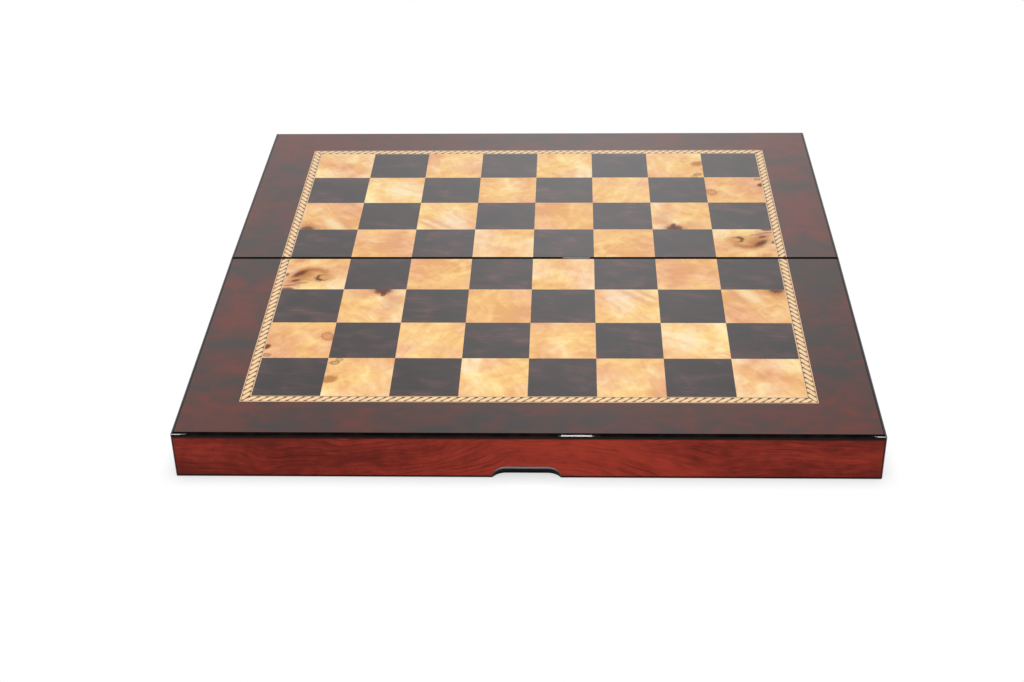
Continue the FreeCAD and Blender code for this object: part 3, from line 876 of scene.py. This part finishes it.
def felt_material():
    """Green baize."""
    material, tree = new_material("green_felt")
    place = tree.place()
    fibres = tree.noise(place, FELT_FIBRE_LUMPS, detail=4.0, roughness=0.75, distortion=2.0)
    patch = tree.noise(place, FELT_PATCH_LUMPS, detail=3.0)
    inputs = {
        "Base Color": tree.ramp(tree.weigh(FELT_SHARES, (fibres, patch)), FELT_STOPS),
        "Roughness": 0.95,
        "Specular IOR Level": 0.15,
        "Sheen Weight": 0.35,
        "Sheen Roughness": 0.5,
        "Normal": tree.bump(fibres, FELT_FIBRE_DEPTH),
    }
    tree.surface(tree.add("BsdfPrincipled", inputs))
    return material


def edge_numbers(columns, rows):
    """The numbers of the points round the edge of a grid, one after the other."""
    width = columns + 1
    numbers = list(range(width))
    numbers += [row * width + columns for row in range(1, rows + 1)]
    numbers += [rows * width + column for column in range(columns - 1, -1, -1)]
    numbers += [row * width for row in range(rows - 1, 0, -1)]
    return numbers


def felt_slab(low, high):
    """A closed slab between two corners, with a grid on its glued side and one on its free face."""
    size = high - low
    columns = round(size.x / FELT_STEP)
    rows = round(size.y / FELT_STEP)
    width = columns + 1
    slab = bmesh.new()
    layers = []
    for level in (high.z, low.z):
        grid = []
        for row in range(rows + 1):
            for column in range(width):
                x = low.x + size.x * column / columns
                y = low.y + size.y * row / rows
                grid.append(slab.verts.new((x, y, level)))
        layers.append(grid)
    for grid, flipped in zip(layers, (False, True)):
        for row in range(rows):
            for column in range(columns):
                first = row * width + column
                corners = [grid[first], grid[first + 1], grid[first + width + 1], grid[first + width]]
                slab.faces.new(reversed(corners) if flipped else corners)
    glued, free = layers
    numbers = edge_numbers(columns, rows)
    for here, following in zip(numbers, numbers[1:] + numbers[:1]):
        slab.faces.new([free[here], free[following], glued[following], glued[here]])
    return slab, glued, free


def inset(point, low, high):
    """How far a point of the slab lies inside its cut edge."""
    return min(point.x - low.x, high.x - point.x, point.y - low.y, high.y - point.y)


def soften_felt(glued, free, low, high):
    """Lets the cut edge wander, and makes the free face roll and thin out towards the edge."""
    for vertex in glued + free:
        if inset(vertex.co, low, high) < FELT_STEP / 2:
            wander = FELT_CUT * noise.noise(vertex.co * FELT_CUT_LUMPS + FELT_CUT_SHIFT)
            vertex.co.x += wander
            vertex.co.y += wander
    for vertex in free:
        edge = math.exp(-max(inset(vertex.co, low, high), 0) / FELT_EDGE_REACH)
        roll = noise.noise(vertex.co * FELT_ROLL_LUMPS)
        vertex.co.z += FELT_ROLL * roll + FELT_EDGE_DROP * edge


def felt_piece(half, material):
    """A sheet of felt in the space of the tray's CAD lining."""
    low, high = flat_box(half, "felt_lining")
    low = low + Vector((FELT_CUT, FELT_CUT, FELT_ROLL))
    high = high - Vector((FELT_CUT, FELT_CUT, 0))
    slab, glued, free = felt_slab(low, high)
    soften_felt(glued, free, low, high)
    mesh = bpy.data.meshes.new(f"{half}_felt")
    slab.to_mesh(mesh)
    slab.free()
    mesh.transform(placement(half))
    mesh.materials.append(material)
    for face in mesh.polygons:
        face.use_smooth = True
    piece = bpy.data.objects.new(f"{half}_felt", mesh)
    bpy.context.scene.collection.objects.link(piece)
    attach(piece, f"{half}_half")
    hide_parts(f"{half}_felt_lining")
    return piece


green_felt = felt_material()
for half in HALVES:
    felt = felt_piece(half, green_felt)
    print(f"{felt.name}: {len(felt.data.vertices)} points")

# %% [markdown]
# ## Floor and studio
#
# The board stands on white. When it folds, its rear half swings under the table line, so the floor
# must not hide what is below it. To the camera it is therefore clear, apart from a contact shadow
# that ambient occlusion draws round the board; to all other rays it is plain white paper. The world
# is white to the camera too. In the lacquer it shows a white studio wall that fades out between 30 and
# 50 degrees up, brighter in its middle and dimmer on the camera's side, and a dark ceiling above it.
# That is why the flat field looks slate grey and the rounded edges look black. Three narrow strip lamps
# make the short glints on the front edge. Light linking keeps them to the rails, so that they draw no
# bars on the flat field.

# %% Floor
FLOOR_REACH = 3.0
SHADOW_REACH = 0.011
SHADOW_STRENGTH = 0.42
SHADOW_SAMPLES = 16
SHADOW_COLOUR = (0.02, 0.02, 0.025)
PAPER_COLOUR = (0.86, 0.86, 0.86)


def floor_material():
    """White paper that lets the camera look through, apart from the shadow round the board."""
    material, tree = new_material("floor")
    path = tree.add("LightPath")
    occlusion = tree.add("AmbientOcclusion", {"Distance": SHADOW_REACH}, samples=SHADOW_SAMPLES)
    shade = tree.math("SUBTRACT", 1.0, occlusion.outputs["AO"])
    shade = tree.math("MULTIPLY", shade, SHADOW_STRENGTH)
    clear = tree.add("BsdfTransparent")
    dark = tree.add("BsdfDiffuse", {"Color": SHADOW_COLOUR})
    seen = tree.add("MixShader", {0: shade, 1: clear.outputs[0], 2: dark.outputs[0]})
    paper = tree.add("BsdfDiffuse", {"Color": PAPER_COLOUR})
    to_camera = path.outputs["Is Camera Ray"]
    tree.surface(tree.add("MixShader", {0: to_camera, 1: paper.outputs[0], 2: seen.outputs[0]}))
    return material


floor_mesh = bpy.data.meshes.new("floor")
corner_signs = ((-1, -1), (1, -1), (1, 1), (-1, 1))
floor_corners = [(x * FLOOR_REACH, y * FLOOR_REACH, 0.0) for x, y in corner_signs]
floor_mesh.from_pydata(floor_corners, [], [(0, 1, 2, 3)])
floor_mesh.materials.append(floor_material())
floor = bpy.data.objects.new("floor", floor_mesh)
bpy.context.scene.collection.objects.link(floor)

# %% World and lamps
WHITE = (1.0, 1.0, 1.0)
AMBIENT = 0.82
STUDIO_WHITE = 1.25
STUDIO_DARK = 0.04
STUDIO_WALL_TOP = math.sin(math.radians(30))
STUDIO_CEILING = math.sin(math.radians(50))
NEAR_SIDE = (-0.25, -0.65)
NEAR_SIDE_DIMMING = 0.7
MIDDLE_PLACE = 0.015
MIDDLE_REACH = 0.18
MIDDLE_LIGHT = (0.40, 0.88)
SOFTBOX_SIZE = 1.0
Softbox = namedtuple("Softbox", "name place power")
SOFTBOXES = [
    Softbox("key", place=(-0.7, -0.5, 1.5), power=8.0),
    Softbox("fill", place=(0.5, -1.6, 0.9), power=7.0),
]
Glint = namedtuple("Glint", "name x width height")
GLINTS = [
    Glint("middle_glint", x=0.033, width=0.042, height=1.0),
    Glint("left_glint", x=-0.53, width=0.018, height=0.5),
    Glint("right_glint", x=0.456, width=0.014, height=0.5),
]
GLINT_PLACE = (-1.11, 1.07)
GLINT_POWER = 215.0


def studio_world():
    """White to the camera, wall and ceiling in reflections, and an even light on the wood."""
    world = bpy.data.worlds.new("studio")
    world.use_nodes = True
    tree = Tree(world.node_tree)
    path = tree.add("LightPath")
    beside, ahead, height = tree.split(tree.add("TexCoord").outputs["Generated"])
    wall = tree.rise(height, STUDIO_CEILING, STUDIO_WALL_TOP)
    dimmed = tree.math("MULTIPLY_ADD", tree.rise(ahead, *NEAR_SIDE), -NEAR_SIDE_DIMMING, 1.0)
    wall = tree.math("MULTIPLY", wall, dimmed)
    from_middle = tree.math("ABSOLUTE", tree.math("SUBTRACT", beside, MIDDLE_PLACE))
    middle = tree.rise(from_middle, MIDDLE_REACH, 0.0)
    wall = tree.math("MULTIPLY", wall, tree.math("MULTIPLY_ADD", middle, *MIDDLE_LIGHT))
    mirrored = tree.math("MULTIPLY_ADD", wall, STUDIO_WHITE - STUDIO_DARK, STUDIO_DARK)
    light = tree.add("Background", {"Color": WHITE, "Strength": AMBIENT})
    reflected = tree.add("Background", {"Color": WHITE, "Strength": mirrored})
    seen = tree.add("Background", {"Color": WHITE, "Strength": 1.0})
    in_gloss = path.outputs["Is Glossy Ray"]
    mixed = tree.add("MixShader", {0: in_gloss, 1: light.outputs[0], 2: reflected.outputs[0]})
    clear = tree.math("MAXIMUM", path.outputs["Is Camera Ray"], path.outputs["Is Transmission Ray"])
    whole = tree.add("MixShader", {0: clear, 1: mixed.outputs[0], 2: seen.outputs[0]})
    tree.add("OutputWorld", {"Surface": whole.outputs[0]})
    return world


def facing_board(place):
    """The turn of a lamp at that place that makes it face the middle of the board."""
    return (-Vector(place)).to_track_quat("-Z", "Y").to_euler()


def area_lamp(name, place, turn, width, height, power):
    """A rectangular lamp; its width is measured across the view, its height in the upright plane."""
    light = bpy.data.lights.new(name, "AREA")
    light.shape = "RECTANGLE"
    light.size = width
    light.size_y = height
    light.energy = power
    lamp = bpy.data.objects.new(name, light)
    lamp.location = place
    lamp.rotation_euler = turn
    bpy.context.scene.collection.objects.link(lamp)
    return lamp


bpy.context.scene.world = studio_world()
for box in SOFTBOXES:
    turn = facing_board(box.place)
    lamp = area_lamp(box.name, box.place, turn, SOFTBOX_SIZE, SOFTBOX_SIZE, box.power)
    lamp.visible_glossy = False

rails = bpy.data.collections.new("rails")
for half in HALVES:
    for name in RAILS:
        rails.objects.link(cad_nodes[f"{half}_{name}"])
glint_turn = facing_board((0.0, *GLINT_PLACE))
for strip in GLINTS:
    power = strip.width * strip.height * GLINT_POWER
    lamp = area_lamp(strip.name, (strip.x, *GLINT_PLACE), glint_turn, strip.width, strip.height, power)
    lamp.visible_diffuse = False
    lamp.light_linking.receiver_collection = rails
print(f"lamps: {len(SOFTBOXES)} soft boxes and {len(GLINTS)} strips that only the rails reflect")

# %% [markdown]
# ## Camera
#
# The camera was solved from the corners of the squares and the outline of the board in the photograph,
# so its place, its turn and its lens are measured values. With the Standard view a colour leaves the
# scene as it was written.

# %% Camera
CAMERA_PLACE = (0.02454, -0.95133, 0.56377)
CAMERA_TURN = (57.934, 0.980, 1.763)
CAMERA_LENS = 58.276
CAMERA_SENSOR = 36.0

lens = bpy.data.cameras.new("camera")
lens.lens = CAMERA_LENS
lens.sensor_width = CAMERA_SENSOR
camera = bpy.data.objects.new("camera", lens)
camera.location = CAMERA_PLACE
camera.rotation_euler = [math.radians(angle) for angle in CAMERA_TURN]
bpy.context.scene.collection.objects.link(camera)
bpy.context.scene.camera = camera
bpy.context.scene.view_settings.view_transform = "Standard"
